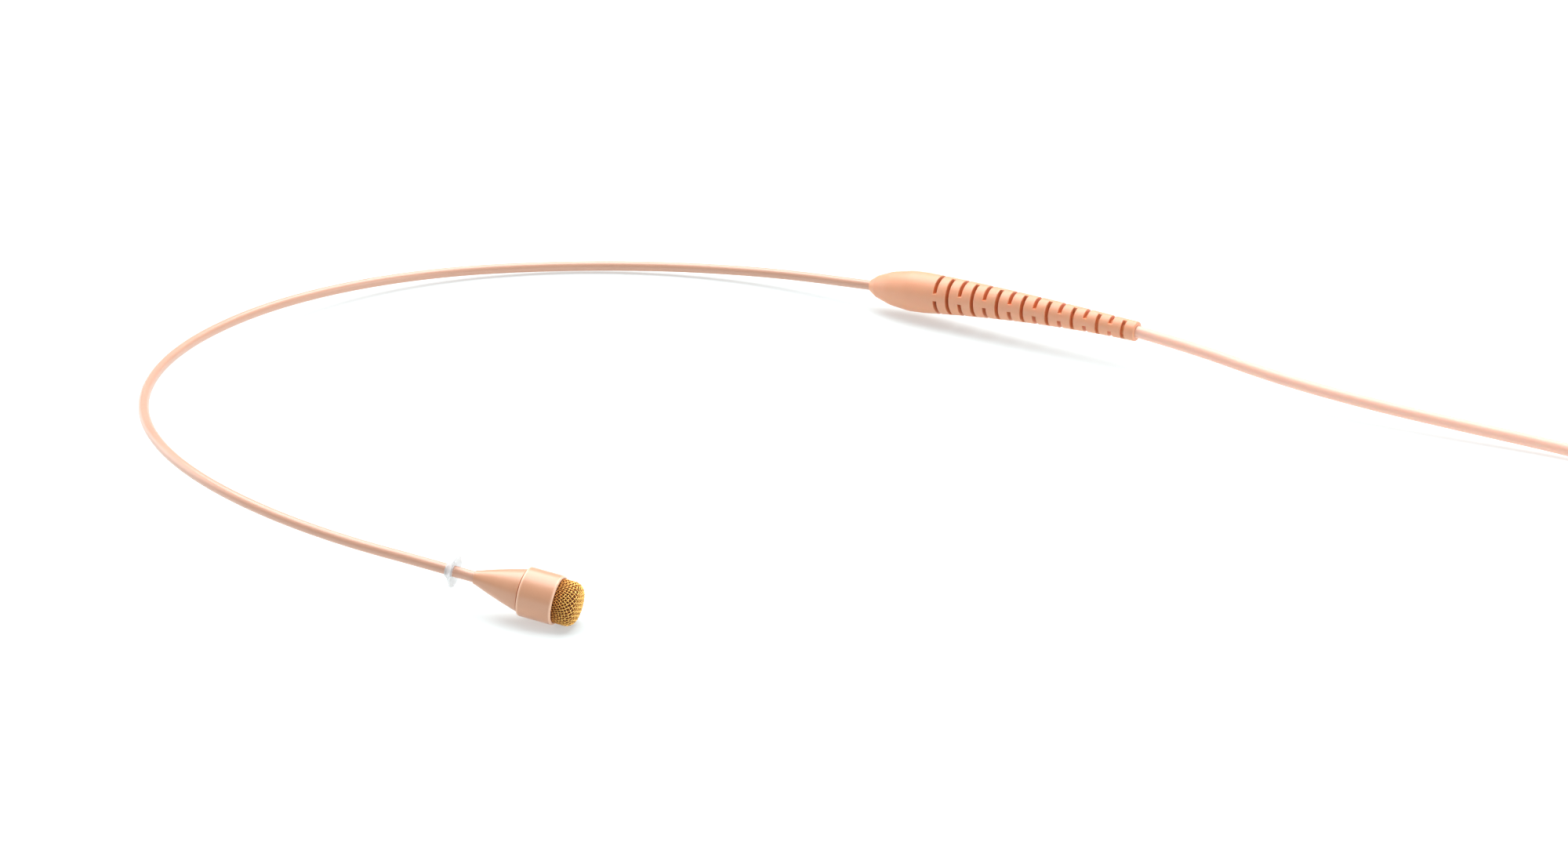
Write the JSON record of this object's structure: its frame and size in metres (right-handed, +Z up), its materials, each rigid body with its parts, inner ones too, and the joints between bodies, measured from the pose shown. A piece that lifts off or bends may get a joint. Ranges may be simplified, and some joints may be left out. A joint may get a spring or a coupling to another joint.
{
  "type": "headset microphone",
  "caption": "Miniature stage headset microphone: formable boom loop with a capped capsule at one end and a slotted strain relief, cable and screw-on plug at the other.",
  "frame": {"origin": "on the surface that the microphone lies on, at the middle of the microphone without its cable and plug", "axes": "+Z up from that surface, +X from the boom loop towards the cable, +Y from the capsule side towards the strain relief side"},
  "size_m": [0.2383, 0.1101, 0.0083],
  "materials": {
    "boom_coat": "satin flesh-coloured coating on a formable metal tube",
    "relief_elastomer": "satin moulded elastomer, flesh coloured",
    "capsule_paint": "satin flesh-coloured lacquer on metal",
    "gold_mesh": "gold-plated fine woven wire",
    "clear_silicone": "clear soft silicone",
    "cable_jacket": "satin elastomer jacket, flesh coloured",
    "lead_insulation": "thin coloured wire insulation",
    "wire_copper": "tinned copper wire and solder",
    "brass_insert": "turned brass",
    "crimp_steel": "crimped stainless steel",
    "shrink_sleeve": "heat-shrink sleeve",
    "cartridge_metal": "drawn aluminium can",
    "diaphragm_foil": "metallised film",
    "backplate_metal": "etched brass with electret coating",
    "insulator_plastic": "white moulded insulator",
    "board_laminate": "green lacquered laminate",
    "board_chip": "moulded component bodies",
    "screen_cloth": "fine water-repellent cloth",
    "seal_silicone": "soft seal ring",
    "plug_boot_rubber": "black moulded boot",
    "plug_nickel": "nickel-plated brass",
    "plug_gold": "gold-plated contact"
  },
  "bodies": {
    "microphone": {"relief_body": "relief_elastomer", "boom_root_tube": "boom_coat", "boom_root_lead": "lead_insulation", "boom_socket": "brass_insert", "splice_sleeve": "shrink_sleeve", "splice_joints": "wire_copper", "cable_crimp": "crimp_steel", "cable_in_relief": "cable_jacket", "cable_run": "cable_jacket", "cable_coil": "cable_jacket", "cable_tail": "cable_jacket", "cable_in_plug": "cable_jacket", "plug_boot": "plug_boot_rubber", "plug_crimp_ferrule": "crimp_steel", "plug_body": "plug_nickel", "plug_insulator": "insulator_plastic", "plug_contact": "plug_gold"},
    "boom_1": {"boom_tube_1": "boom_coat", "boom_lead_1": "lead_insulation"},
    "boom_2": {"boom_tube_2": "boom_coat", "boom_lead_2": "lead_insulation"},
    "boom_3": {"boom_tube_3": "boom_coat", "boom_lead_3": "lead_insulation"},
    "boom_4": {"boom_tube_4": "boom_coat", "boom_lead_4": "lead_insulation"},
    "capsule": {"boom_tip_tube": "boom_coat", "boom_tip_lead": "lead_insulation", "capsule_housing": "capsule_paint", "boom_ferrule": "brass_insert", "cap_seal_ring": "seal_silicone", "cartridge_can": "cartridge_metal", "acoustic_screen": "screen_cloth", "diaphragm_ring": "cartridge_metal", "diaphragm": "diaphragm_foil", "spacer_ring": "insulator_plastic", "backplate": "backplate_metal", "backplate_insulator": "insulator_plastic", "gate_ring": "backplate_metal", "preamp_board": "board_laminate", "board_components": "board_chip", "signal_wires": "wire_copper"},
    "grid_cap": {"grid_cap_collar": "capsule_paint", "grid_mesh": "gold_mesh"},
    "guard": {"sweat_guard": "clear_silicone"},
    "nut": {"coupling_nut": "plug_nickel"}
  },
  "joints": [
    {"name": "boom_lift", "type": "hinge", "parent": "microphone", "child": "boom_1", "pos_m": [0.02324, 0.04492, 0.00248], "axis": [0.512, 0.859, 0], "range_deg": [-25, 25]},
    {"name": "boom_bend_1", "type": "hinge", "parent": "boom_1", "child": "boom_2", "pos_m": [-0.02047, 0.05291, 0.00096], "axis": [0.0084, 0.0815, 0.9966], "range_deg": [-25, 25]},
    {"name": "boom_bend_2", "type": "hinge", "parent": "boom_2", "child": "boom_3", "pos_m": [-0.05602, 0.02719, 0.00336], "axis": [0.0048, 0.0833, 0.9965], "range_deg": [-25, 25]},
    {"name": "boom_bend_3", "type": "hinge", "parent": "boom_3", "child": "boom_4", "pos_m": [-0.05909, -0.01664, 0.00705], "axis": [0.1837, 0.1496, 0.9715], "range_deg": [-25, 25]},
    {"name": "capsule_aim", "type": "hinge", "parent": "boom_4", "child": "capsule", "pos_m": [-0.02714, -0.04649, 0.0056], "axis": [-0.2737, -0.9618, 0], "range_deg": [-25, 25]},
    {"name": "grid_cap_pull", "type": "slide", "parent": "capsule", "child": "grid_cap", "axis": [0.9415, -0.3074, -0.1383], "range_m": [0, 0.006]},
    {"name": "guard_slide", "type": "slide", "parent": "capsule", "child": "guard", "axis": [0.9415, -0.3074, -0.1383], "range_m": [-0.003, 0.0022]},
    {"name": "nut_turn", "type": "hinge", "parent": "microphone", "child": "nut", "pos_m": [0.1559, -0.0216, 0.00292], "axis": [0.9817, 0.1905, 0], "continuous": true}
  ]
}
